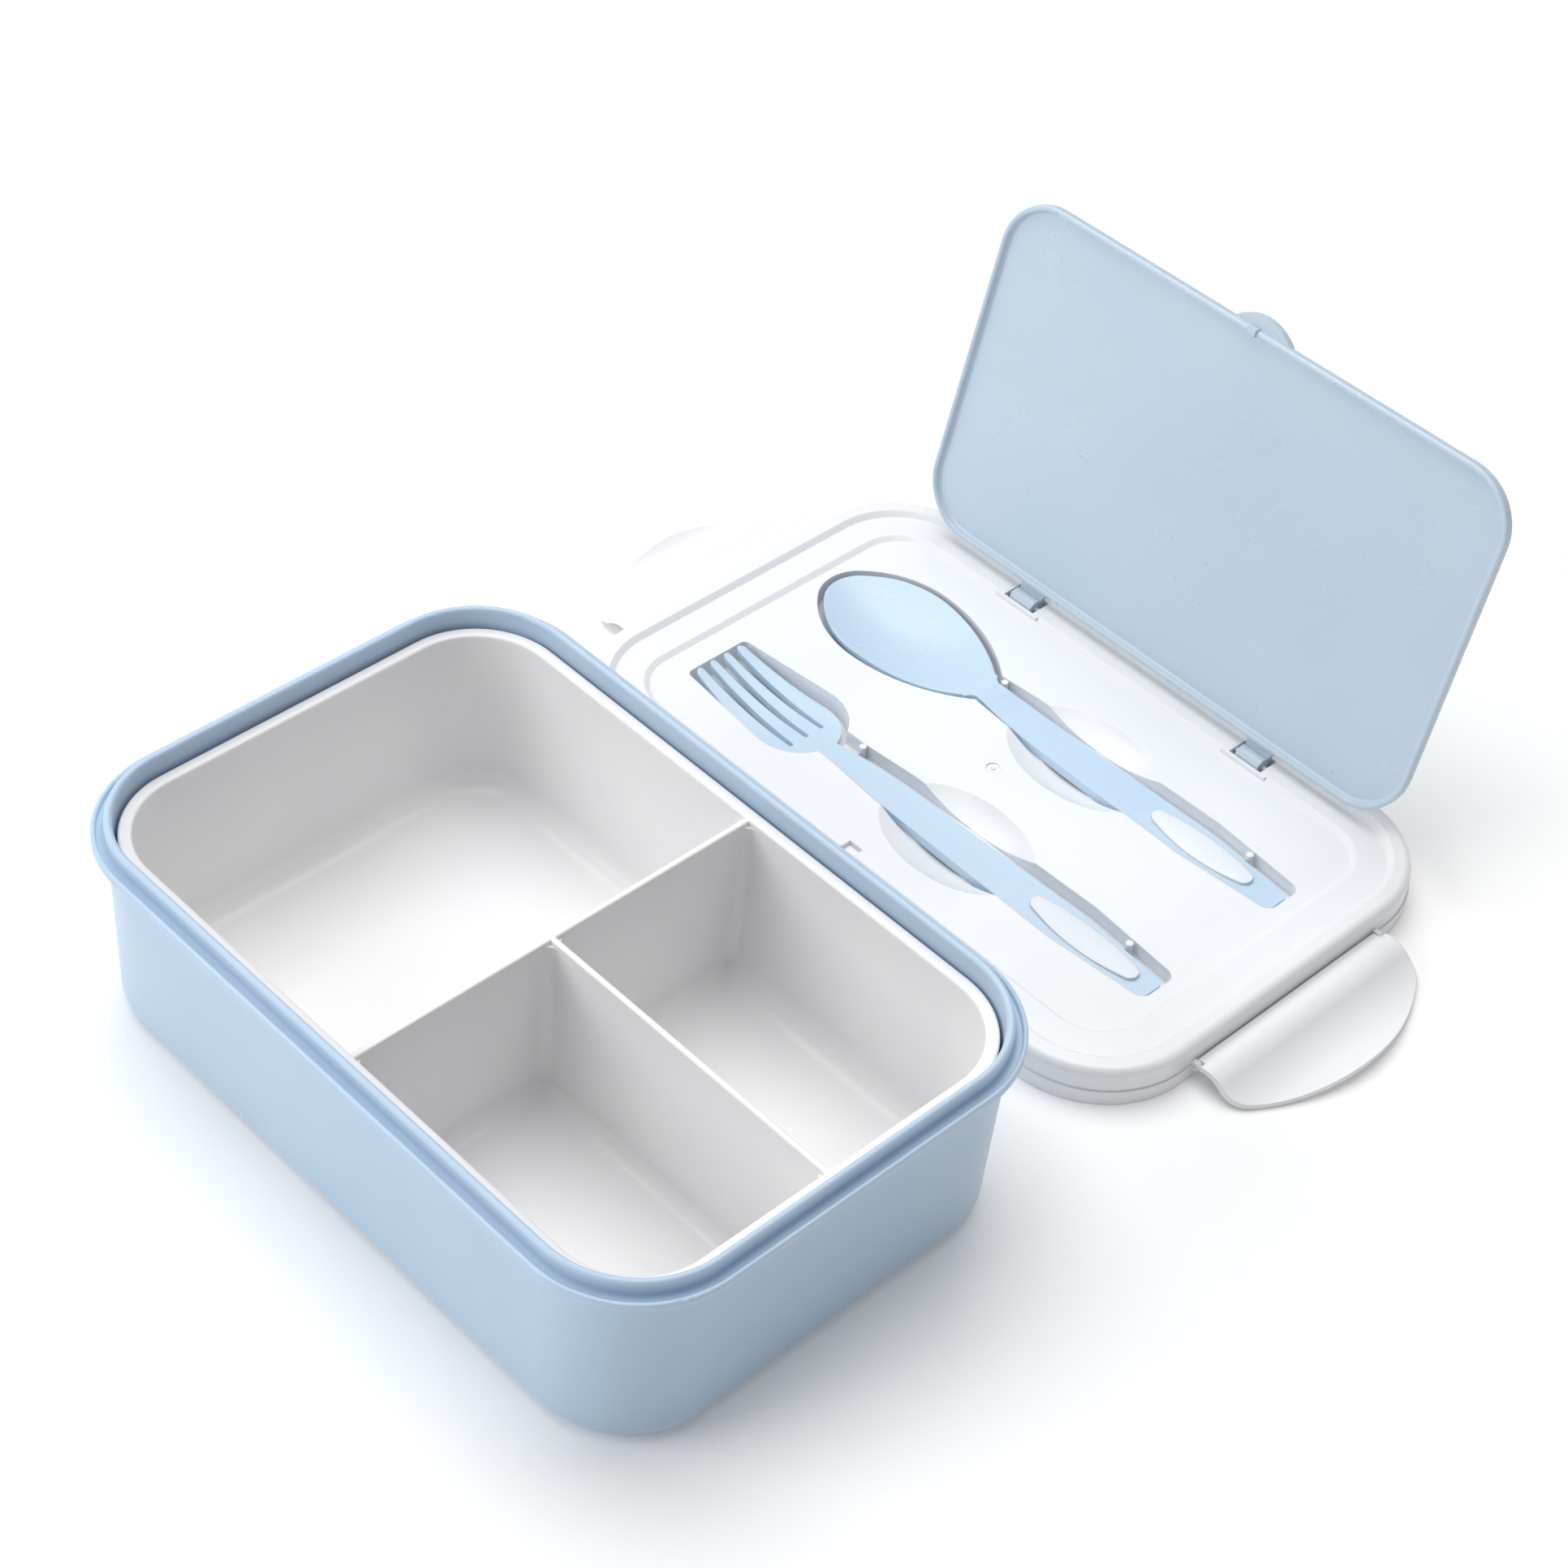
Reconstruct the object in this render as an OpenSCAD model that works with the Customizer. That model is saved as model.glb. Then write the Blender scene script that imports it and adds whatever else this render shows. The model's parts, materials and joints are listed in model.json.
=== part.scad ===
// Lunch box: an outer box with a removable food tray, and a lid that carries a fork
// and a spoon under a hinged cover, with a locking flap on each short end.
// Units are millimetres. The box stands on z = 0 with its middle at the origin, its long
// side along X, and the lid lies open beside it, on the same surface, towards +Y.

/* [Box] */
// Half the distance between the corner centres along the long side
corner_x = 77.9; // [77:0.1:90]
// Half the distance between the corner centres along the short side
corner_y = 41.9; // [41:0.1:52]
// Height of the box, up to its sealing edge
box_h = 61.8; // [50:0.1:80]
// Thickness of the box floor
box_floor = 1.9; // [1.4:0.1:3]
// Rounding where the walls of the box meet its floor
box_fillet = 6; // [4:0.5:8]
// Widening of the walls for each millimetre of height
box_draft = 0.024; // [0.01:0.002:0.04]

/* [Tray] */
// Depth of the tray rim below the sealing edge
tray_drop = 5.6; // [5:0.1:8]
// Thickness of the tray walls
tray_wall = 1.5; // [1.2:0.1:2]
// Slope of the tray walls in degrees
tray_slope = 3.5; // [2:0.5:5]
// Thickness of the divider tops
divider_w = 1.8; // [1.4:0.1:2.4]
// Position of the cross divider along the long side
cross_x = 2.5; // [-20:0.5:20]
// Position of the lengthwise divider along the short side
length_y = -2; // [-10:0.5:10]

/* [Lid] */
// Shift of the open lid along the long side
lid_x = -2.3; // [-10:0.1:10]
// Distance of the open lid from the box
lid_y = 168.8; // [155:0.1:200]
// Height of the lid
lid_h = 12; // [12:0.1:14]
// Depth of the cutlery wells below the lid's panel
well_depth = 6.5; // [6.5:0.1:6.9]

/* [Cutlery] */
// Position of the fork across the lid
fork_y = -28.7; // [-29.5:0.1:-27]
// Position of the spoon across the lid
spoon_y = 23; // [22:0.5:26]
// Thickness of the handles
handle_t = 3; // [2.6:0.1:3.2]

/* [Cover] */
// Angle of the cover from closed to open, in degrees
cover_open = 102.4; // [0:0.1:110]
// Thickness of the cover's panel
cover_t = 1.6; // [1.2:0.1:2]

/* [Flaps] */
// Length of each locking flap
flap_len = 77; // [60:1:80]
// Reach of each flap from its hinge
flap_reach = 27.8; // [26.6:0.2:28.2]
// Angle of the open flaps from level, in degrees
flap_angle = -6.5; // [-6.5:0.5:0]

/* [Hidden] */
$fn = 96;
side_x = [1, -1, -1, 1];
side_y = [1, 1, -1, -1];
eps = 0.01;
// Overlap of an arc with the line or wider arc that runs on from it
arc_lap = 0.02;

// Box levels and radii, measured from the corner centres
lip_z = box_h - 3.6;
gutter_z = box_h - 5;
flange_z = box_h - 6.3;
upstand_r = 28.9;
upstand_t = 2.2;
lip_in_r = 31;
lip_r = 32.3;
wall_r = 28.6 - box_draft * flange_z;
inner_r = upstand_r - upstand_t - box_draft * box_h;
crown_z = box_h - upstand_t / 2;
foot_r = 19;
foot_step = 0.6;

// Tray levels and radii
tray_z = box_h - tray_drop;
tray_foot = 1.6;
tray_floor = box_floor + tray_foot + tray_wall;
tray_tan = tan(tray_slope);
tray_in_r = 22.1 - tray_tan * (tray_z - tray_floor);
tray_rim_r = 25.7;
tray_fillet = 7;
rim_t = 1.6;
rim_round = 0.8;
divider_draft = 1;
divider_tan = tan(divider_draft);
divider_top = tray_z - 0.4;
divider_base = divider_w / 2 + divider_tan * (divider_top - tray_floor);
cove_r = 4;
post_r = 3;

// Lid levels and radii
lid_r = 31.3;
band_r = 30.9;
skirt_r = 29.3;
skirt_band = 4.8;
plug_out_r = 26.2;
plug_in_r = 25;
plug_z = 1.5;
panel_r = 13.8;
step_r = 24;
step_z = lid_h - 1.5;
panel_z = lid_h - 2.7;
panel_t = 1.6;
well_z = panel_z - well_depth;
well_t = 1.4;
rest_z = well_z + 2;

// Cutlery, measured along X
stud_r = 1.1;
tip_x = -83;
bowl_x = -61;
bowl_tip = 26;
bowl_neck = 37.5;
bowl_half = 18.6;
bowl_depth = 4.8;
bowl_t = 1.6;
head_x = -50;
head_r = 13;
neck_half = 4;
handle_z = rest_z + handle_t;
grip_gap = 1.2;
far_gap = 2;
scoop_x = 13.5;
scoop_half_x = 24.8;
scoop_half_y = 17.6;
scoop_depth = 6;

// Cover, with its hinge axis as its own origin
pivot_y = corner_y + 18.5;
pivot_z = lid_h - 2.7;
cover_gap = 5.1;
cover_corner = 17.5;
cover_half_x = corner_x + 13.1;
cover_half_y = corner_y + 13.1;
cover_low = 0.3;
cover_mid = 2.2;
cover_high = cover_mid + cover_t;
cover_rim = 1.8;
lug_x = 44.4;
lug_half = 5.4;
lug_end_half = 4.2;
lug_r = 2.8;
pin_r = 0.8;
pin_len = 1.5;
running_gap = 0.05;
notch_half = 5.8;

// Flaps, with the hinge axis as their own origin
hinge_out = 0.9;
flap_x = corner_x + lid_r + hinge_out;
flap_z = 5;
flap_t = 1.6;
bead_r = 1.1;
bead_half = flap_len / 2 - 2.1;
flap_pin_r = 0.6;
ear_t = 1.6;
ear_r = 1.3;
ear_y = flap_len / 2 - 0.2 - ear_t / 2;
hump = [4.9, -6.6];
hump_r = 9;
valley = [17.8, 15.2];
valley_r = norm(valley - hump) - hump_r;
join = hump + (valley - hump) * hump_r / (hump_r + valley_r);

// ---- Shared shapes ----

// Sweeps a section round a rounded rectangle. The section's x is the distance from the
// corner centres, and its y is the height.
module ring(cx, cy) {
  for (i = [0 : 3])
    translate([side_x[i] * cx, side_y[i] * cy, 0]) {
      rotate([0, 0, 90 * i]) rotate_extrude(angle = 90) children();
      rotate([90, 0, 90 * i]) linear_extrude(2 * (i % 2 == 0 ? cy : cx)) children();
    }
}

// A full body with that section, filled between the corner centres from z0 to z1.
module block(cx, cy, z0, z1) {
  ring(cx, cy) children();
  translate([-cx, -cy, z0]) cube([2 * cx, 2 * cy, z1 - z0]);
}

// Section of a tub: radius r0 at its floor z0, slope m, a rounding of radius f below.
module tub_section(r0, z0, z1, m, f) {
  c = cos(atan(m));
  s = sin(atan(m));
  x = r0 + f * m - f / c;
  polygon([
    [0, z0], [x, z0], [x, z0 + f], [x + f * c, z0 + f - f * s],
    [r0 + m * (z1 - z0), z1], [0, z1]
  ]);
  translate([x, z0 + f]) circle(r = f);
}

// Half of an oval slab of height h, with half length a, half width b, end radius e.
module half_oval(a, b, e, h) {
  k = ((a - e) * (a - e) - (b - e) * (b - e)) / (2 * (b - e));
  x = (a - e) * (b + k) / (b + k - e);
  translate([a - e, 0, 0]) cylinder(r = e + arc_lap, h = h);
  intersection() {
    translate([0, k, 0]) cylinder(r = b + k, h = h);
    translate([0, -k, 0]) cylinder(r = b + k, h = h);
    translate([0, -b, 0]) cube([x, 2 * b, h]);
  }
}

// Thick wheel with rounded flanks whose lowest part is a shallow oval dish: half length
// a, half width b, depth d at z = 0, and everything grown by g.
module dish(a, b, d, g) {
  long_r = (a * a + d * d) / (2 * d);
  cross_r = (b * b + d * d) / (2 * d);
  translate([0, 0, long_r - d]) rotate([90, 0, 0]) rotate_extrude() intersection() {
    translate([long_r - cross_r, 0]) circle(r = cross_r + g);
    translate([0, -cross_r - g]) square([long_r + g, 2 * (cross_r + g)]);
  }
}

// ---- Box ----

module box_shell() {
  color([0.72, 0.81, 0.89])
    difference() {
      union() {
        block(corner_x, corner_y, 0, gutter_z)
          tub_section(wall_r, 0, gutter_z, box_draft, box_fillet);
        ring(corner_x, corner_y) box_edge();
      }
      block(corner_x, corner_y, box_floor, crown_z)
        tub_section(inner_r + box_draft * box_floor, box_floor, crown_z, box_draft,
          box_fillet - box_floor);
      block(corner_x, corner_y, -1, foot_step) translate([0, -1]) square([foot_r, 1 + foot_step]);
    }
}

// Sealing edge, gutter and outer lip of the box.
module box_edge() {
  crown_in = inner_r + box_draft * crown_z;
  crown_r = (upstand_r - crown_in) / 2;
  lip_round = (lip_r - lip_in_r) / 2;
  under_round = 0.8;
  gutter_cove = 1;
  flange_cove = 1.2;
  wall_x = wall_r + box_draft * flange_z;
  translate([crown_in, flange_z]) square([upstand_r - crown_in, crown_z - flange_z]);
  translate([crown_in + crown_r, crown_z]) circle(r = crown_r);
  polygon([
    [crown_in, flange_z], [lip_r - under_round, flange_z],
    [lip_r - under_round, flange_z + under_round], [lip_r, flange_z + under_round],
    [lip_r, lip_z - lip_round], [lip_in_r, lip_z - lip_round],
    [lip_in_r, gutter_z], [crown_in, gutter_z]
  ]);
  translate([lip_r - under_round, flange_z + under_round]) circle(r = under_round);
  translate([lip_in_r + lip_round, lip_z - lip_round]) circle(r = lip_round);
  difference() {
    translate([upstand_r - eps, gutter_z - eps]) square(gutter_cove + eps);
    translate([upstand_r + gutter_cove, gutter_z + gutter_cove]) circle(r = gutter_cove);
  }
  difference() {
    translate([wall_x - 1, flange_z - flange_cove]) square([1 + flange_cove, flange_cove + eps]);
    translate([wall_x + flange_cove, flange_z - flange_cove]) circle(r = flange_cove);
  }
}

// ---- Tray ----

module tray() {
  outer_r = tray_in_r + tray_wall / cos(tray_slope) - tray_tan * tray_wall;
  color([0.96, 0.96, 0.97]) {
    difference() {
      union() {
        block(corner_x, corner_y, tray_floor - tray_wall, tray_z - rim_t / 2)
          tub_section(outer_r, tray_floor - tray_wall, tray_z - rim_t / 2, tray_tan,
            tray_fillet + tray_wall);
        ring(corner_x, corner_y) tray_edge();
      }
      block(corner_x, corner_y, tray_floor, tray_z - rim_round)
        tub_section(tray_in_r, tray_floor, tray_z - rim_round, tray_tan, tray_fillet);
    }
    intersection() {
      dividers();
      block(corner_x, corner_y, tray_floor - tray_wall / 2, tray_z)
        tub_section(tray_in_r + tray_wall / 2, tray_floor - tray_wall / 2, tray_z, tray_tan,
          tray_fillet);
    }
  }
}

// Rim of the tray, turned down at its edge, and the low ring that it stands on.
module tray_edge() {
  rim_in = tray_in_r + tray_tan * (tray_z - rim_round - tray_floor);
  hem = 3;
  hem_t = 1.3;
  ring_r = 9.5;
  translate([rim_in + rim_round, tray_z - rim_round]) circle(r = rim_round);
  translate([tray_rim_r - rim_round, tray_z - rim_round]) circle(r = rim_round);
  translate([rim_in, tray_z - rim_t])
    square([tray_rim_r - rim_in, rim_t - rim_round]);
  translate([rim_in + rim_round, tray_z - rim_t])
    square([tray_rim_r - rim_in - 2 * rim_round, rim_t]);
  translate([tray_rim_r - hem_t, tray_z - hem]) square([hem_t, hem - rim_round]);
  translate([ring_r, box_floor]) square([2, tray_foot + tray_wall / 2]);
}

module dividers() {
  inner_y = corner_y + tray_in_r;
  inner_x = corner_x + tray_in_r;
  translate([cross_x, 0, 0]) rotate([90, 0, 0])
    linear_extrude(2 * (corner_y + tray_rim_r), center = true) divider_section();
  translate([cross_x, length_y, 0]) rotate([90, 0, 90])
    linear_extrude(corner_x + tray_rim_r - cross_x) divider_section();
  for (sx = [-1, 1])
    for (sy = [-1, 1])
      post(cross_x + sx * divider_base, sy * inner_y, sx, -sy,
        -sx * divider_tan, sy * tray_tan);
  for (sy = [-1, 1]) {
    post(inner_x, length_y + sy * divider_base, -1, sy, tray_tan, -sy * divider_tan);
    post(cross_x + divider_base, length_y + sy * divider_base, 1, sy,
      -divider_tan, -sy * divider_tan);
  }
}

// Section of a divider: a rounded top, sloping sides and a cove along each foot.
module divider_section() {
  top_round = 0.5;
  half = divider_w / 2;
  cove_x = divider_base - divider_tan * cove_r + cove_r / cos(divider_draft);
  below = 1;
  polygon([
    [-divider_base, tray_floor - below], [divider_base, tray_floor - below],
    [divider_base, tray_floor], [half, divider_top - top_round],
    [half - top_round, divider_top - top_round], [half - top_round, divider_top],
    [top_round - half, divider_top], [top_round - half, divider_top - top_round],
    [-half, divider_top - top_round], [-divider_base, tray_floor]
  ]);
  for (s = [-1, 1]) {
    translate([s * (half - top_round), divider_top - top_round]) circle(r = top_round);
    difference() {
      polygon([
        [0, tray_floor - below], [s * cove_x, tray_floor - below],
        [s * cove_x, tray_floor + cove_r],
        [s * (cove_x - cove_r * cos(divider_draft)),
          tray_floor + cove_r - cove_r * sin(divider_draft)],
        [0, tray_floor + cove_r]
      ]);
      translate([s * cove_x, tray_floor + cove_r]) circle(r = cove_r);
    }
  }
}

// Cove up an inner corner that starts at x, y on the floor, opens towards dx, dy, and
// leans by mx, my for each millimetre of height.
module post(x, y, dx, dy, mx, my) {
  back = 0.5;
  below = 0.5;
  translate([x, y, tray_floor]) rotate([-atan(my), atan(mx), 0]) translate([0, 0, -below])
    linear_extrude(divider_top - tray_floor - rim_round)
      scale([dx, dy]) difference() {
        translate([-back, -back]) square(post_r + back);
        translate([post_r, post_r]) circle(r = post_r);
      }
}

// ---- Lid ----

module at_lid() {
  translate([lid_x, lid_y, 0]) children();
}

module lid_shell() {
  color([0.97, 0.97, 0.98]) at_lid() {
    difference() {
      union() {
        ring(corner_x, corner_y) lid_edge();
        block(corner_x, corner_y, panel_z - panel_t, panel_z)
          translate([0, panel_z - panel_t]) square([panel_r, panel_t]);
        well_bodies();
        for (s = [-1, 1]) {
          translate([s * lug_x, 0, 0]) hinge_block();
          flap_ears(s);
        }
      }
      well_hollows();
      for (s = [-1, 1]) translate([s * lug_x, 0, 0]) hinge_notch();
      for (s = [-1, 1]) bead_hollow(s);
      snap_notch();
      gate_mark();
    }
    for (p = studs)
      translate([p[0], p[1], p[2] - well_t / 2]) cylinder(r = stud_r, h = panel_z - p[2] + well_t / 2);
  }
}

// Skirt, raised edge, step and plug wall of the lid.
module lid_edge() {
  edge_round = 2.5;
  step_run = 1.6;
  web = 1.2;
  difference() {
    union() {
      translate([skirt_r, 0]) square([lid_r - skirt_r, skirt_band]);
      polygon([
        [skirt_r, 0], [band_r, 0], [band_r, lid_h - edge_round],
        [band_r - edge_round, lid_h - edge_round], [band_r - edge_round, lid_h],
        [step_r + step_run, lid_h], [step_r, step_z], [panel_r + step_run, step_z],
        [panel_r, panel_z], [panel_r - web, panel_z], [panel_r - web, panel_z - panel_t],
        [panel_r + web, panel_z - panel_t], [panel_r + web, step_z - 1.8],
        [plug_in_r, step_z - 1.8], [plug_in_r, plug_z], [plug_out_r, plug_z],
        [plug_out_r, lid_h - 1.8], [skirt_r, lid_h - 1.8]
      ]);
      translate([band_r - edge_round, lid_h - edge_round]) circle(r = edge_round);
    }
    translate([skirt_r - 2 * edge_round, plug_z]) square([2 * edge_round, lid_h - 1.8 - plug_z]);
  }
  translate([plug_in_r, plug_z]) square([plug_out_r - plug_in_r, lid_h - 1.8 - plug_z]);
}

// Studs that hold the cutlery, along the far sides of the wells: x, y and the floor there.
studs = [
  [-23.3, spoon_y + 6.4, rest_z], [-29.6, fork_y + 6.2, rest_z],
  [69.6, spoon_y + 7.4, rest_z], [71.3, fork_y + 7.3, rest_z]
];

// Slab shaped as a handle or, grown by g, as the well that holds one: it widens from the
// neck to x = 56, then narrows to a square end with rounded corners.
module handle_slab(g, h) {
  wide = [56, 5];
  corner = [84.3, 2.6];
  corner_r = 2 + g;
  along = (corner - wide) / norm(corner - wide);
  out = [-along[1], along[0]] * corner_r;
  linear_extrude(h)
    polygon([
      [-40, -neck_half - g], [-40, neck_half + g], [-31, neck_half + g], [-12, 5.6 + g],
      wide + out, corner + out, corner, [corner[0] + corner_r, corner[1]],
      [corner[0] + corner_r, -corner[1]], [corner[0], -corner[1]],
      [corner[0] + out[0], -corner[1] - out[1]], [wide[0] + out[0], -wide[1] - out[1]],
      [-12, -5.6 - g], [-31, -neck_half - g]
    ]);
  for (s = [-1, 1])
    translate([corner[0], s * corner[1], 0]) cylinder(r = corner_r + arc_lap, h = h);
}

// Slab with two corners of radius r1 at x1, -+y1, joined by their tangents to one
// circle of radius r2 at x2.
module head_slab(x1, y1, r1, x2, r2, h) {
  a = atan2(-y1, x2 - x1) + acos((r1 - r2) / norm([x2 - x1, y1]));
  for (s = [-1, 1]) translate([x1, s * y1, 0]) cylinder(r = r1 + arc_lap, h = h);
  translate([x2, 0, 0]) cylinder(r = r2 + arc_lap, h = h);
  linear_extrude(h)
    polygon([
      [x1 - r1, -y1], [x1 - r1, y1],
      [x1 + r1 * cos(a), y1 + r1 * sin(a)], [x2 + r2 * cos(a), r2 * sin(a)],
      [x2 + r2 * cos(a), -r2 * sin(a)], [x1 + r1 * cos(a), -y1 - r1 * sin(a)]
    ]);
}

module bowl_slab(g, h) {
  translate([bowl_x, 0, 0]) {
    half_oval(bowl_neck + g, bowl_half + g, 7.5 + g, h);
    mirror([1, 0, 0]) half_oval(bowl_tip + g, bowl_half + g, 12 + g, h);
  }
}

// A well from its shallow floor up, grown by g: the deep part below the head, the shallow
// part below the handle, and the finger scoop across it.
module well(side, g, top) {
  translate([0, side == 0 ? fork_y : spoon_y, 0]) {
    intersection() {
      translate([0, 0, well_z - g]) union() {
        if (side == 0) head_slab(-82, 9.6, 2 + g, head_x, head_r + 1.8 + g, top - well_z + g);
        if (side == 1) bowl_slab(1.9 + g, top - well_z + g);
        handle_slab(grip_gap + g, top - well_z + g);
      }
      translate([-100, -40, 0]) cube([78 + g, 80, top]);
    }
    for (y = [0, far_gap])
      translate([0, y, rest_z - g]) handle_slab(grip_gap + g, top - rest_z + g);
    intersection() {
      translate([scoop_x, 0, panel_z]) dish(scoop_half_x, scoop_half_y, scoop_depth, g);
      translate([scoop_x - 40, -30, 0]) cube([80, 60, top]);
    }
  }
}

module well_bodies() {
  for (side = [0, 1]) well(side, well_t, panel_z - panel_t / 2);
}

module well_hollows() {
  for (side = [0, 1]) well(side, 0, lid_h);
}

// Block under the lid's edge that holds the cover's hinge pins.
module hinge_block() {
  side_t = pin_len + 0.9;
  block_low = pivot_z - lug_r - 1.8;
  translate([-notch_half - side_t, pivot_y - lug_r - 1.6, block_low])
    cube([2 * (notch_half + side_t), 2 * lug_r + 4, step_z - block_low]);
}

module hinge_notch() {
  notch_z = pivot_z - lug_r - 0.4;
  bore_half = lug_end_half + pin_len + 0.3;
  translate([-notch_half, pivot_y - lug_r - 0.3, notch_z])
    cube([2 * notch_half, 2 * lug_r + 1.4, lid_h - notch_z]);
  translate([-bore_half - notch_half + lug_end_half, pivot_y, pivot_z]) rotate([0, 90, 0])
    cylinder(r = pin_r + running_gap, h = 2 * (bore_half + notch_half - lug_end_half));
}

// Notch in the lid's step that the cover's snap drops into.
module snap_notch() {
  translate([-4.4, -corner_y - panel_r - 0.9, panel_z - 1.3]) cube([4.8, 4.2, lid_h]);
}

module gate_mark() {
  translate([0, 0, panel_z - 0.25]) difference() {
    cylinder(r = 2, h = lid_h);
    translate([0, 0, -1]) cylinder(r = 0.7, h = 1.2);
  }
}

// Ears on one end of the lid, with a bore for the flap's pins.
module flap_ears(s) {
  reach = hinge_out + 0.5;
  for (t = [-1, 1])
    translate([s * flap_x, t * ear_y, flap_z])
      difference() {
        union() {
          rotate([90, 0, 0]) cylinder(r = ear_r, h = ear_t, center = true);
          translate([s > 0 ? -reach : 0, -ear_t / 2, -ear_r]) cube([reach, ear_t, 2 * ear_r]);
        }
        rotate([90, 0, 0]) cylinder(r = flap_pin_r + running_gap, h = ear_t + 1, center = true);
      }
}

// Hollow along the skirt that the flap's bead turns in.
module bead_hollow(s) {
  translate([s * flap_x, 0, flap_z]) rotate([90, 0, 0])
    cylinder(r = bead_r + 0.3, h = 2 * bead_half + 0.4, center = true);
}

// Soft ring between the skirt and the plug wall; it closes on the box's sealing edge.
module lid_seal() {
  gap = 0.05;
  seal_low = lid_h - 1.8 - 6.6;
  groove_r = 0.5;
  color([0.93, 0.94, 0.95]) at_lid()
    ring(corner_x, corner_y) difference() {
      translate([plug_out_r + gap, seal_low])
        square([skirt_r - plug_out_r - 2 * gap, lid_h - 1.8 - seal_low]);
      for (x = [plug_out_r + gap, skirt_r - gap])
        for (z = [seal_low + 2.2, seal_low + 4.4]) translate([x, z]) circle(r = groove_r);
    }
}

// ---- Cover ----

module cover() {
  color([0.78, 0.87, 0.95]) at_lid() translate([0, pivot_y, pivot_z])
    rotate([-cover_open, 0, 0]) cover_closed();
}

// The cover as it lies closed, with its inner face down.
module cover_closed() {
  cx = cover_half_x - cover_corner;
  cy = cover_half_y - cover_corner;
  translate([0, -cover_gap - cover_half_y, 0]) {
    block(cx, cy, cover_mid, cover_high)
      translate([0, cover_mid]) square([cover_corner - cover_t, cover_t]);
    ring(cx, cy) cover_edge();
    finger_tab();
    snap();
  }
  for (s = [-1, 1]) translate([s * lug_x, 0, 0]) lug();
}

module cover_edge() {
  tip_round = 0.7;
  top_round = 1.2;
  inner_cove = 0.8;
  inner = cover_corner - cover_rim;
  translate([inner, cover_low + tip_round])
    square([cover_rim, cover_high - top_round - cover_low - tip_round]);
  translate([inner + tip_round, cover_low]) square([cover_rim - 2 * tip_round, 1]);
  translate([inner - 1, cover_mid]) square([1 + cover_rim - top_round, cover_t]);
  for (x = [inner + tip_round, cover_corner - tip_round])
    translate([x, cover_low + tip_round]) circle(r = tip_round);
  translate([cover_corner - top_round, cover_high - top_round]) circle(r = top_round);
  difference() {
    translate([inner - inner_cove, cover_mid - inner_cove]) square(inner_cove + eps);
    translate([inner - inner_cove, cover_mid - inner_cove]) circle(r = inner_cove);
  }
}

// Half-round tab on the cover's free edge.
module finger_tab() {
  tab_r = 14.5;
  tab_out = 4;
  tab_t = 1.9;
  translate([0, -cover_half_y, cover_high - tab_t])
    intersection() {
      translate([0, tab_r - tab_out, 0]) cylinder(r = tab_r, h = tab_t);
      translate([-tab_r, -tab_out - 1, 0]) cube([2 * tab_r, tab_out + 2, tab_t]);
    }
}

// Small catch on the rim, beside the finger tab.
module snap() {
  translate([-3.5, -cover_half_y - 0.4, cover_low - 0.7]) cube([3, cover_rim + 0.4, 2]);
}

// Hinge lug: a tongue from the cover's edge, thick and round about the hinge axis, with a
// pin on each side.
module lug() {
  intersection() {
    rotate([90, 0, 90]) linear_extrude(2 * lug_half, center = true) {
      circle(r = lug_r);
      polygon([
        [-cover_gap - 0.6, cover_mid], [-cover_gap - 0.6, cover_high - 0.4],
        [-cover_gap + 1, cover_high - 0.4], [0.6, 2.7], [0, 0], [-lug_r + 0.4, cover_mid - 0.8]
      ]);
    }
    linear_extrude(3 * lug_r, center = true)
      polygon([
        [-lug_half, -cover_gap - 1], [lug_half, -cover_gap - 1], [lug_end_half, -lug_r],
        [lug_end_half, lug_r + 1], [-lug_end_half, lug_r + 1], [-lug_end_half, -lug_r]
      ]);
  }
  rotate([0, 90, 0])
    cylinder(r = pin_r, h = 2 * (notch_half + pin_len), center = true);
}

// ---- Cutlery ----

// Slab with the side view of the curved head and neck: a cupped arc that rises to the
// level handle.
module head_profile(low_x, low_z, cup_r, neck_r, t, from_x) {
  rise = handle_z - low_z;
  reach = cup_r + neck_r;
  flat_x = low_x + sqrt(reach * reach - (reach - rise) * (reach - rise));
  cup = [low_x, low_z + cup_r];
  bend = [flat_x, handle_z - neck_r];
  join = cup + (bend - cup) * cup_r / reach;
  side_slab() intersection() {
    difference() {
      translate(cup) circle(r = cup_r + t);
      translate(cup) circle(r = cup_r);
    }
    polygon([cup, cup + (join - cup) * 1.1, [from_x, low_z - 10], [from_x, cup[1]]]);
  }
  side_slab() intersection() {
    difference() {
      translate(bend) circle(r = neck_r);
      translate(bend) circle(r = neck_r - t);
    }
    polygon([bend, bend + (join - bend) * 1.2, [flat_x, handle_z + 5]]);
  }
  side_slab() polygon([
    [flat_x, handle_z - t], [flat_x, handle_z], [100, handle_z], [100, handle_z - handle_t],
    [flat_x + 9, handle_z - handle_t]
  ]);
}

// Turns a side view into a slab across the lid.
module side_slab() {
  rotate([90, 0, 0]) linear_extrude(40, center = true) children();
}

module fork() {
  color([0.72, 0.84, 0.95]) at_lid() translate([0, fork_y, 0])
    difference() {
      union() {
        curved() union() {
          fork_head(2 * lid_h);
        }
        curved() fork_neck(2 * lid_h);
        curved() union() {
          handle_slab(0, 2 * lid_h);
        }
      }
      for (s = [-1 : 1]) fork_slot(s, 2 * lid_h);
      inlay_seat(61.5, 19);
    }
}

// Keeps what lies within the side view of the fork.
module curved() {
  intersection() {
    children();
    head_profile(-52, well_z + 2.25, 105, 60, 2.2, tip_x - 1);
  }
}

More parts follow.
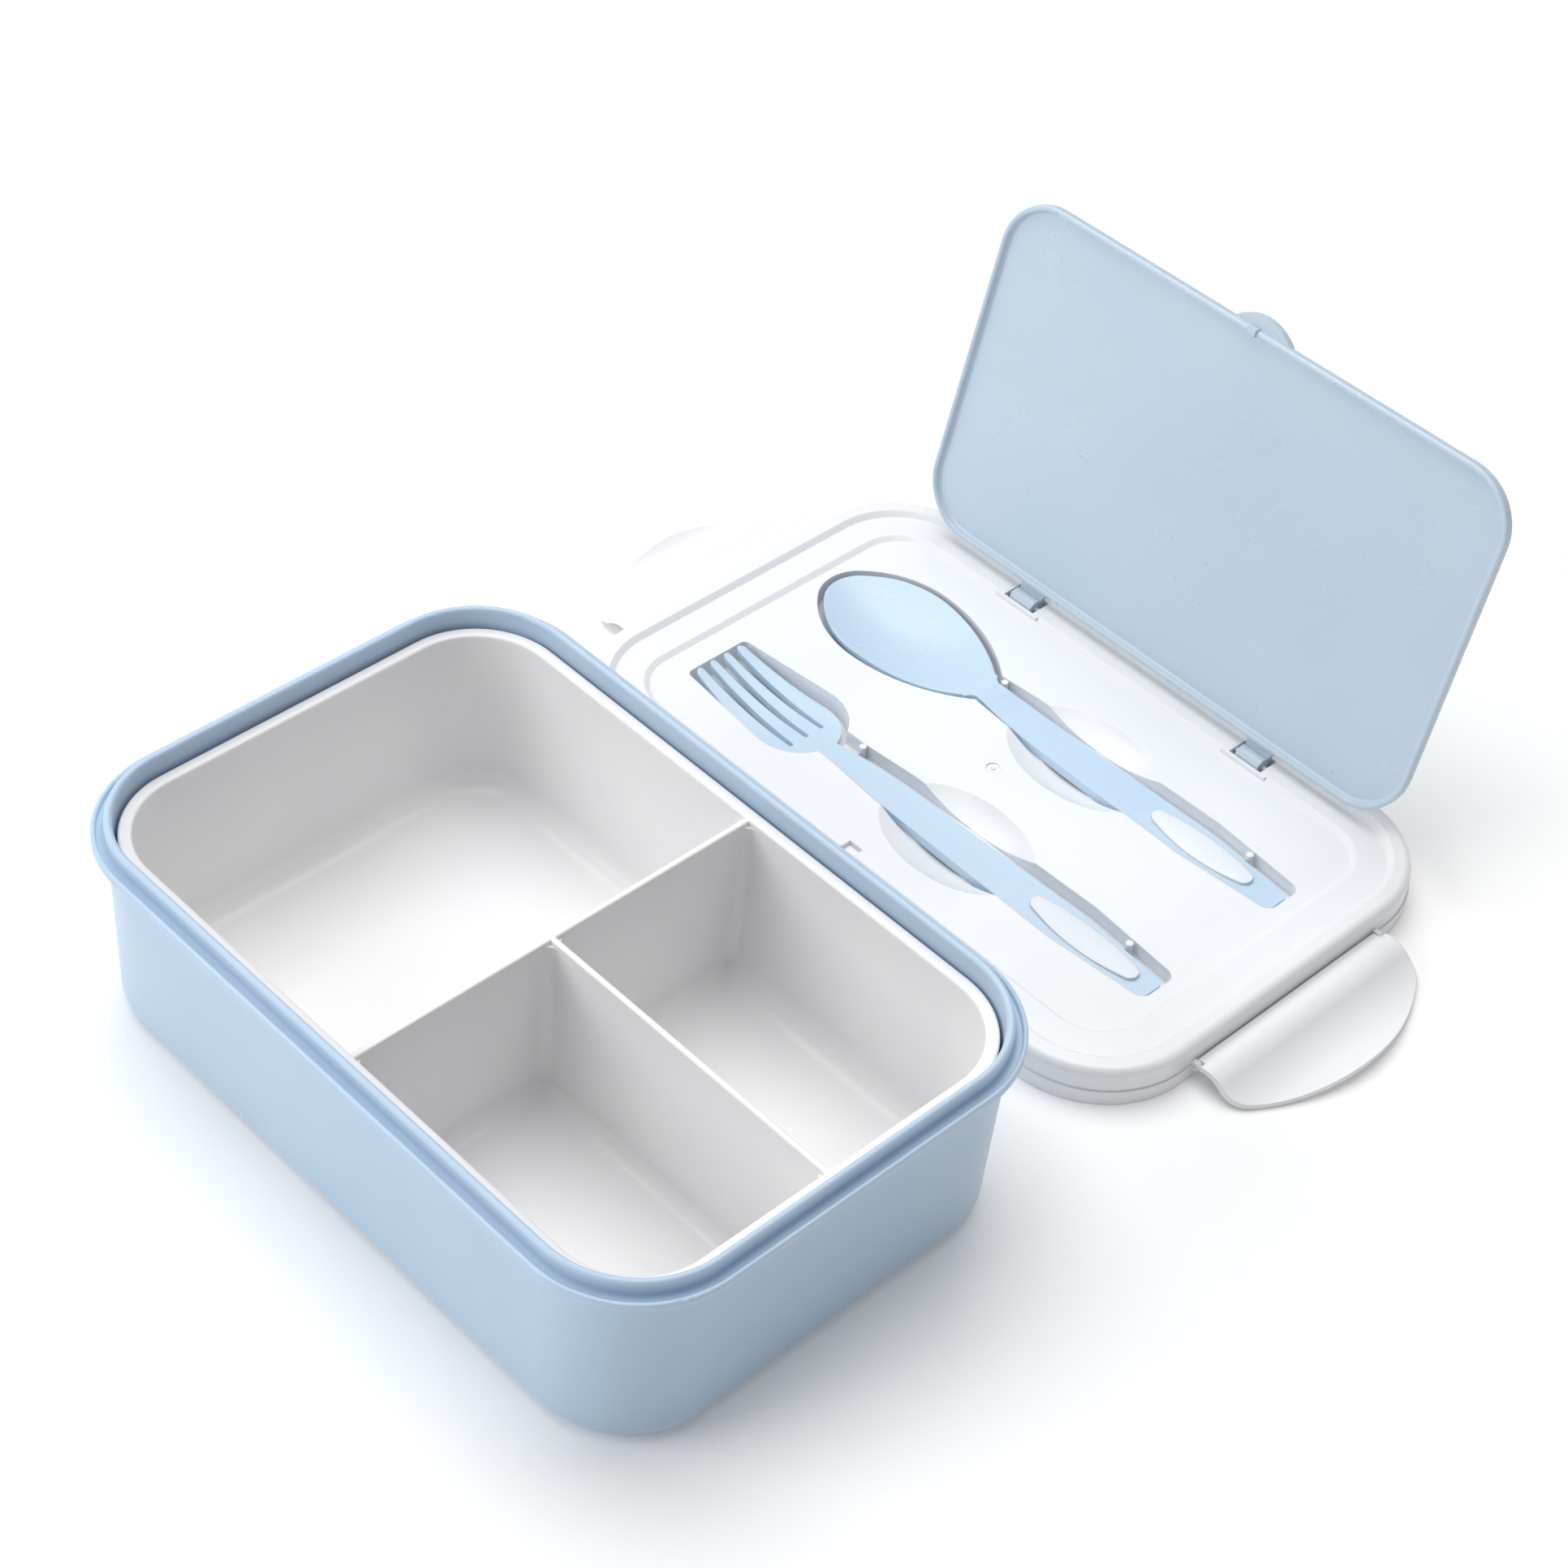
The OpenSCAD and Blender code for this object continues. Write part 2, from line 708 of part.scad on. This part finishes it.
module fork_head(h) {
  tip_half = 8.4;
  corner = 1;
  translate([head_x, 0, 0]) cylinder(r = head_r, h = h);
  linear_extrude(h)
    polygon([
      [tip_x, -tip_half], [tip_x, tip_half], [tip_x + corner, tip_half + corner],
      [head_x - 1.3, head_r - 0.07], [head_x - 1.3, 0.07 - head_r],
      [tip_x + corner, -tip_half - corner]
    ]);
}

// Neck with a hollow curve on each side where it meets the head.
module fork_neck(h) {
  shoulder_r = 9;
  flank = head_r + shoulder_r;
  offset_y = neck_half + shoulder_r;
  bend_x = head_x + sqrt(flank * flank - offset_y * offset_y);
  difference() {
    linear_extrude(h)
      polygon([
        [head_x, -neck_half], [head_x, neck_half],
        [head_x + (bend_x - head_x) * head_r / flank, offset_y * head_r / flank],
        [bend_x, offset_y], [bend_x, -offset_y],
        [head_x + (bend_x - head_x) * head_r / flank, -offset_y * head_r / flank]
      ]);
    for (s = [-1, 1]) translate([bend_x, s * offset_y, -1]) cylinder(r = shoulder_r, h = h + 2);
  }
}

// Slot between two tines, wider towards the tips.
module fork_slot(s, h) {
  root_x = -46;
  root_y = s * 6;
  end_y = s * 5.3;
  root_half = 0.7;
  end_half = 1.4;
  flare = 0.8;
  translate([root_x, root_y, 0]) cylinder(r = root_half, h = h);
  linear_extrude(h)
    polygon([
      [root_x, root_y - root_half], [root_x, root_y + root_half],
      [tip_x + 2 * flare, end_y + end_half], [tip_x - 1, end_y + end_half + flare],
      [tip_x - 1, end_y - end_half - flare], [tip_x + 2 * flare, end_y - end_half]
    ]);
}

module spoon() {
  rim_z = well_z + 0.1 + bowl_t + bowl_depth;
  dish_x = bowl_x + 5;
  color([0.72, 0.84, 0.95]) at_lid() translate([0, spoon_y, 0])
    difference() {
      union() {
        intersection() {
          bowl_slab(0, rim_z);
          translate([dish_x, 0, rim_z]) dish(32, bowl_half, bowl_depth, bowl_t);
        }
        intersection() {
          union() {
            spoon_neck(2 * lid_h);
            handle_slab(0, 2 * lid_h);
          }
          side_slab() neck_profile(rim_z);
        }
      }
      intersection() {
        translate([dish_x, 0, rim_z]) dish(32, bowl_half, bowl_depth, 0);
        translate([-100, -30, 0]) cube([74, 60, 2 * lid_h]);
      }
      inlay_seat(58.5, 17.8);
    }
}

// Neck with a hollow curve on each side where it meets the bowl.
module spoon_neck(h) {
  blend_r = 6;
  end_x = bowl_x + bowl_neck + 2;
  difference() {
    translate([end_x - 9, -neck_half - 3, 0]) cube([9, 2 * neck_half + 6, h]);
    for (s = [-1, 1])
      translate([end_x, s * (neck_half + blend_r), -1]) cylinder(r = blend_r, h = h + 2);
  }
}

module neck_profile(rim_z) {
  polygon([
    [-34, rim_z - 2.2], [-30, rim_z - 0.6], [-25, rim_z], [-22, rim_z - 0.05],
    [-14, handle_z + 0.55], [-6, handle_z + 0.12], [0, handle_z], [100, handle_z],
    [100, handle_z - handle_t], [-6, handle_z - handle_t], [-20, rest_z + 0.6], [-27, rest_z + 0.6]
  ]);
}

// Seat in a handle for its inlay, centred on x, with half length a.
module inlay_seat(x, a) {
  seat_gap = 0.03;
  translate([x, 0, handle_z - 1]) oval_slab(a + seat_gap, 4.7 + seat_gap, 5);
}

module oval_slab(a, b, h) {
  end_r = 0.55 * b;
  half_oval(a, b, end_r, h);
  mirror([1, 0, 0]) half_oval(a, b, end_r, h);
}

// Inlay: an oval pad with a gently rounded top that stands proud of the handle.
module inlay(x, a) {
  dome_r = 16;
  proud = 0.9;
  color([0.95, 0.96, 0.98])
    intersection() {
      translate([x, 0, handle_z - 1]) union() {
        oval_slab(a, 4.7, 3);
      }
      translate([x, 0, handle_z + proud - dome_r]) rotate([0, 90, 0])
        cylinder(r = dome_r, h = 3 * a, center = true);
    }
}

module fork_inlay() {
  at_lid() translate([0, fork_y, 0]) inlay(61.5, 19);
}

module spoon_inlay() {
  at_lid() translate([0, spoon_y, 0]) inlay(58.5, 17.8);
}

// ---- Flaps ----

module flap_right() {
  at_lid() translate([flap_x, 0, flap_z]) rotate([0, -flap_angle, 0]) flap();
}

module flap_left() {
  at_lid() translate([-flap_x, 0, flap_z]) rotate([0, flap_angle, 0])
    mirror([1, 0, 0]) flap();
}

// A flap that reaches towards +X from its hinge axis.
module flap() {
  color([0.97, 0.97, 0.98]) {
    difference() {
      intersection() {
        union() {
          rotate([90, 0, 0]) linear_extrude(flap_len, center = true) hump_section();
          rotate([90, 0, 0]) linear_extrude(flap_len, center = true) valley_section();
        }
        translate([0, 0, -20]) linear_extrude(40) flap_outline();
      }
      for (t = [-1, 1])
        translate([-2, t * (bead_half + 2) - 2, -3]) cube([3.7, 4, 6]);
    }
    rotate([90, 0, 0]) cylinder(r = bead_r, h = 2 * bead_half, center = true);
    rotate([90, 0, 0])
      cylinder(r = flap_pin_r, h = 2 * (ear_y + ear_t / 2 - 0.2), center = true);
    hook();
  }
}

// Side view of the hump beside the hinge.
module hump_section() {
  start = 0.4;
  intersection() {
    difference() {
      translate(hump) circle(r = hump_r);
      translate(hump) circle(r = hump_r - flap_t);
    }
    polygon([hump, hump + (join - hump) * 1.3, [hump[0], 6], [start, 6], [start, hump[1]]]);
  }
}

// Side view of the valley that turns up at the tip.
module valley_section() {
  intersection() {
    difference() {
      translate(valley) circle(r = valley_r + flap_t);
      translate(valley) circle(r = valley_r);
    }
    polygon([valley, valley + (join - valley) * 1.3, [valley[0], -9], [30, -9], [30, valley[1]]]);
  }
}

// Plan view: straight along the hinge, bowed at the tip, with rounded corners.
module flap_outline() {
  bow_r = 62;
  corner_r = 9;
  half = flap_len / 2;
  bow_x = flap_reach - bow_r;
  swing = asin((half - corner_r) / (bow_r - corner_r));
  corner_cx = bow_x + (bow_r - corner_r) * cos(swing);
  far = bow_r + 20;
  intersection() {
    translate([bow_x, 0]) circle(r = bow_r);
    polygon([
      [bow_x, 0], [bow_x + far * cos(swing), far * sin(swing)],
      [bow_x + far * cos(swing), -far * sin(swing)]
    ]);
    translate([-2, -half]) square([40, 2 * half]);
  }
  translate([-2, -half]) square([2 + corner_cx, 2 * half]);
  for (s = [-1, 1]) translate([corner_cx, s * (half - corner_r)]) circle(r = corner_r);
}

// Rib under the flap that catches below the lip of the box.
module hook() {
  hook_len = flap_len - 12;
  rotate([90, 0, 0]) linear_extrude(hook_len, center = true)
    polygon([[7.8, -1.4], [7.8, 0.8], [10.8, 0.2], [10.8, -1.7], [8.2, -1.7]]);
}

box_shell();
tray();
lid_shell();
lid_seal();
flap_left();
flap_right();
cover();
fork();
fork_inlay();
spoon();
spoon_inlay();
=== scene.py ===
"""Looks for the lunch box: moulded plastics, soft studio light, a pale floor and the camera.

Every shape comes from the frame. Lengths are metres.
"""

import json
import math

import bpy
from mathutils import Matrix, Vector


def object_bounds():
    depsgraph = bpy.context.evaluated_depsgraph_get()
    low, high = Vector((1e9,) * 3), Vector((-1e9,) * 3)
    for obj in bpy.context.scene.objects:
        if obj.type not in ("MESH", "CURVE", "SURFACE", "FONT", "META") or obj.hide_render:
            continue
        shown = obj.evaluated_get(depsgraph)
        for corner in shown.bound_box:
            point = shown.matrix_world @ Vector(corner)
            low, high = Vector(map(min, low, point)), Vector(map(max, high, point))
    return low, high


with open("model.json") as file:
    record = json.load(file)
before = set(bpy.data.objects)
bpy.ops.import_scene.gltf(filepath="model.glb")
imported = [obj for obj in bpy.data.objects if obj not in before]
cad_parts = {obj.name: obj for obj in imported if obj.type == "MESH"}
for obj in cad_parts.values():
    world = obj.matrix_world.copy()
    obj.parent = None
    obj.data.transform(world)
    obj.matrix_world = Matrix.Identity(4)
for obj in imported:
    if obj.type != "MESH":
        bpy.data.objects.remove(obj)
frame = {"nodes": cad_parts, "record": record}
cad_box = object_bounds()
nodes = frame["nodes"]
MM = 0.001


# ---- Materials ----


def srgb(red, green, blue):
    """A display colour from 0 to 255, as the linear values that a shader takes."""

    def linear(c):
        c /= 255
        return c / 12.92 if c <= 0.04045 else ((c + 0.055) / 1.055) ** 2.4

    return (linear(red), linear(green), linear(blue), 1.0)


class Graph:
    """A material's node tree, with one short call for each kind of node."""

    def __init__(self, name):
        self.material = bpy.data.materials.new(name)
        self.material.use_nodes = True
        self.tree = self.material.node_tree
        self.tree.nodes.clear()

    def put(self, kind, values=None, **settings):
        """A node of a kind, with its settings and its input values or links."""
        node = self.tree.nodes.new(kind)
        for key, value in settings.items():
            setattr(node, key, value)
        for key, value in (values or {}).items():
            self.feed(node.inputs[key], value)
        return node

    def feed(self, socket, value):
        if isinstance(value, bpy.types.NodeSocket):
            self.tree.links.new(value, socket)
        else:
            socket.default_value = value

    def math(self, operation, a, b=0.0, clamp=False):
        node = self.put("ShaderNodeMath", {0: a, 1: b}, operation=operation, use_clamp=clamp)
        return node.outputs[0]

    def span(self, value, low, high, to_low=0.0, to_high=1.0):
        """Maps low..high to to_low..to_high, and holds the ends beyond them."""
        node = self.put(
            "ShaderNodeMapRange", {0: value, 1: low, 2: high, 3: to_low, 4: to_high}
        )
        return node.outputs[0]

    def mix(self, factor, a, b, blend="MIX"):
        node = self.put("ShaderNodeMix", data_type="RGBA", blend_type=blend)
        for socket, value in zip((node.inputs[0], node.inputs[6], node.inputs[7]), (factor, a, b)):
            self.feed(socket, value)
        return node.outputs[2]

    def noise(self, where, size, detail=2.0, rough=0.5, stretch=(1, 1, 1), turn=(0, 0, 0)):
        """Noise whose blotches are about size across, stretched along turned axes."""
        place = self.put(
            "ShaderNodeMapping", {"Vector": where, "Rotation": turn, "Scale": stretch}
        )
        values = {"Vector": place.outputs[0], "Scale": 1 / size, "Detail": detail, "Roughness": rough}
        return self.put("ShaderNodeTexNoise", values).outputs[0]


def plastic(name, colour, shade, rough=0.32, edge_highlight_amount=0.35, grain=0.06, **surface):
    """Moulded plastic: clouds of a second shade, a painted highlight that makes rounded edges paler,
    a fine moulded grain, shallow ripples and patches of uneven gloss."""
    graph = Graph(name)
    where = graph.put("ShaderNodeTexCoord").outputs["Object"]
    clouds = graph.noise(where, 70 * MM, 3.0)
    specks = graph.noise(where, 1.1 * MM, 2.0)
    smears = graph.noise(where, 22 * MM, 4.0, 0.6, (1, 0.35, 1), (0.3, 0.2, 0.7))

    rounded = graph.put("ShaderNodeBevel", {"Radius": 0.45 * MM}, samples=4)
    flat = graph.put("ShaderNodeNewGeometry").outputs["Normal"]
    facing = graph.put(
        "ShaderNodeVectorMath", {0: rounded.outputs[0], 1: flat}, operation="DOT_PRODUCT"
    )
    edge_highlight_and_gloss_mask = graph.span(facing.outputs["Value"], 0.995, 0.93)

    tone = graph.mix(graph.span(clouds, 0.35, 0.7, 0.0, 0.8), colour, shade)
    tone = graph.mix(graph.span(specks, 0.62, 0.8, 0.0, 0.1), tone, shade)
    # Painted highlight: rounded edges are mixed towards a paler tint, which stands in for light
    # caught on their curves.
    painted_edge_highlight = tuple(min(1.0, 0.35 + 0.7 * c) for c in colour[:3]) + (1.0,)
    tone = graph.mix(graph.math("MULTIPLY", edge_highlight_and_gloss_mask, edge_highlight_amount), tone, painted_edge_highlight)

    gloss = graph.span(smears, 0.3, 0.75, rough - 0.05, rough + 0.07)
    gloss = graph.math("ADD", gloss, graph.math("MULTIPLY", edge_highlight_and_gloss_mask, 0.04), clamp=True)

    ripple = graph.noise(where, 16 * MM, 1.0)
    fine = graph.noise(where, 0.5 * MM, 2.0)
    normal = graph.put(
        "ShaderNodeBump",
        {"Height": ripple, "Strength": 0.2, "Distance": 0.2 * MM, "Normal": rounded.outputs[0]},
    ).outputs[0]
    normal = graph.put(
        "ShaderNodeBump",
        {"Height": fine, "Strength": grain, "Distance": 0.08 * MM, "Normal": normal},
    ).outputs[0]

    values = {"Base Color": tone, "Roughness": gloss, "Normal": normal, **surface}
    shader = graph.put("ShaderNodeBsdfPrincipled", values)
    graph.put("ShaderNodeOutputMaterial", {"Surface": shader.outputs[0]})
    return graph.material


def soft_body(weight, reach, colour):
    """Surface values for light that sinks into the plastic and comes out nearby."""
    return {
        "Subsurface Weight": weight,
        "Subsurface Radius": colour,
        "Subsurface Scale": reach,
    }


finishes = {
    "box": plastic(
        "box_plastic", srgb(188, 209, 229), srgb(181, 203, 225), rough=0.36, IOR=1.49,
        **soft_body(0.25, 3 * MM, (0.7, 0.85, 1.0)),
    ),
    "tray": plastic(
        "tray_plastic", srgb(240, 240, 240), srgb(233, 233, 235), rough=0.34, IOR=1.49,
        **soft_body(0.15, 2 * MM, (1.0, 0.95, 0.9)),
    ),
    "lid": plastic(
        "lid_plastic", srgb(244, 245, 247), srgb(238, 240, 243), rough=0.22, IOR=1.5,
        **soft_body(0.1, 2 * MM, (0.95, 0.97, 1.0)),
    ),
    "flap": plastic(
        "flap_plastic", srgb(244, 245, 247), srgb(237, 239, 242), rough=0.2, IOR=1.5,
        **soft_body(0.1, 2 * MM, (0.95, 0.97, 1.0)),
    ),
    "seal": plastic(
        "seal_silicone", srgb(232, 236, 240), srgb(222, 228, 233), rough=0.5, IOR=1.41,
        grain=0.1, **soft_body(0.5, 3 * MM, (0.95, 0.97, 1.0)),
    ),
    "cover": plastic(
        "cover_plastic", srgb(220, 236, 249), srgb(213, 231, 246), rough=0.3, IOR=1.49,
        **{"Transmission Weight": 0.3},
    ),
    "cutlery": plastic(
        "cutlery_plastic", srgb(203, 223, 242), srgb(196, 218, 239), rough=0.3, IOR=1.49,
        **soft_body(0.4, 3 * MM, (0.6, 0.8, 1.0)),
    ),
    "inlay": plastic(
        "inlay_plastic", srgb(238, 242, 248), srgb(230, 235, 242), rough=0.42, IOR=1.47,
        grain=0.12, **soft_body(0.2, 2 * MM, (0.95, 0.97, 1.0)),
    ),
}

for part in frame["record"]["subparts"]:
    mesh = nodes[part["node"]].data
    mesh.materials.clear()
    mesh.materials.append(finishes[part["material_slot"]])


# ---- Studio ----


def floor(size):
    """A wide pale floor under the object, with a trace of its own light. Returns it."""
    corners = [(-size, -size, 0), (size, -size, 0), (size, size, 0), (-size, size, 0)]
    mesh = bpy.data.meshes.new("floor")
    mesh.from_pydata(corners, [], [(0, 1, 2, 3)])
    plane = bpy.data.objects.new("floor", mesh)
    bpy.context.scene.collection.objects.link(plane)
    graph = Graph("floor_paper")
    where = graph.put("ShaderNodeTexCoord").outputs["Object"]
    clouds = graph.noise(where, 400 * MM, 2.0)
    tone = graph.mix(graph.span(clouds, 0.3, 0.7), (0.94, 0.94, 0.94, 1), (0.96, 0.96, 0.96, 1))
    values = {
        "Base Color": tone,
        "Roughness": 0.9,
        "Specular IOR Level": 0.1,
        "Emission Color": (1.0, 1.0, 1.0, 1.0),
        "Emission Strength": 0.09,
    }
    shader = graph.put("ShaderNodeBsdfPrincipled", values)
    graph.put("ShaderNodeOutputMaterial", {"Surface": shader.outputs[0]})
    mesh.materials.append(graph.material)
    return plane


def softbox(name, place, target, width, height, power):
    """A rectangular light at place that faces target."""
    data = bpy.data.lights.new(name, "AREA")
    data.shape = "RECTANGLE"
    data.size = width
    data.size_y = height
    data.energy = power
    lamp = bpy.data.objects.new(name, data)
    lamp.location = place
    lamp.rotation_euler = (Vector(target) - Vector(place)).to_track_quat("-Z", "Y").to_euler()
    bpy.context.scene.collection.objects.link(lamp)


def camera(azimuth, elevation, roll, target, distance, lens, shift):
    """The camera at a distance from target, seen from an azimuth and an elevation."""
    a, e, r = (math.radians(x) for x in (azimuth, elevation, roll))
    back = Vector((math.sin(a) * math.cos(e), -math.cos(a) * math.cos(e), math.sin(e)))
    level = Vector((math.cos(a), math.sin(a), 0))
    right = level * math.cos(r) + back.cross(level) * math.sin(r)
    turn = Matrix((right, back.cross(right), back)).transposed()
    data = bpy.data.cameras.new("camera")
    data.lens = lens
    data.sensor_width = 36
    data.shift_x, data.shift_y = shift
    data.clip_start, data.clip_end = 0.05, 20
    eye = bpy.data.objects.new("camera", data)
    eye.matrix_world = Matrix.Translation(Vector(target) + back * distance) @ turn.to_4x4()
    bpy.context.scene.collection.objects.link(eye)
    bpy.context.scene.camera = eye


# The lights aim at the middle of the object, at about half the height of the box.
middle = (cad_box[0] + cad_box[1]) / 2
middle.z = 30 * MM

world = bpy.data.worlds.new("studio")
world.use_nodes = True
background = world.node_tree.nodes["Background"]
background.inputs["Color"].default_value = (1.0, 1.0, 1.0, 1.0)
background.inputs["Strength"].default_value = 0.27
bpy.context.scene.world = world
bpy.context.scene.view_settings.view_transform = "Standard"

softbox("top", place=(-0.5, 0.3, 1.75), target=middle, width=1.8, height=1.8, power=31)
softbox("front", place=(-0.9, -1.5, 0.9), target=middle, width=1.2, height=1.0, power=15)
floor(4)
camera(
    azimuth=43.486,
    elevation=43.064,
    roll=5.244,
    target=(-0.0197, 0.0765, 0.0415),
    distance=0.8916,
    lens=77.65,
    shift=(0.041, 0.0055),
)
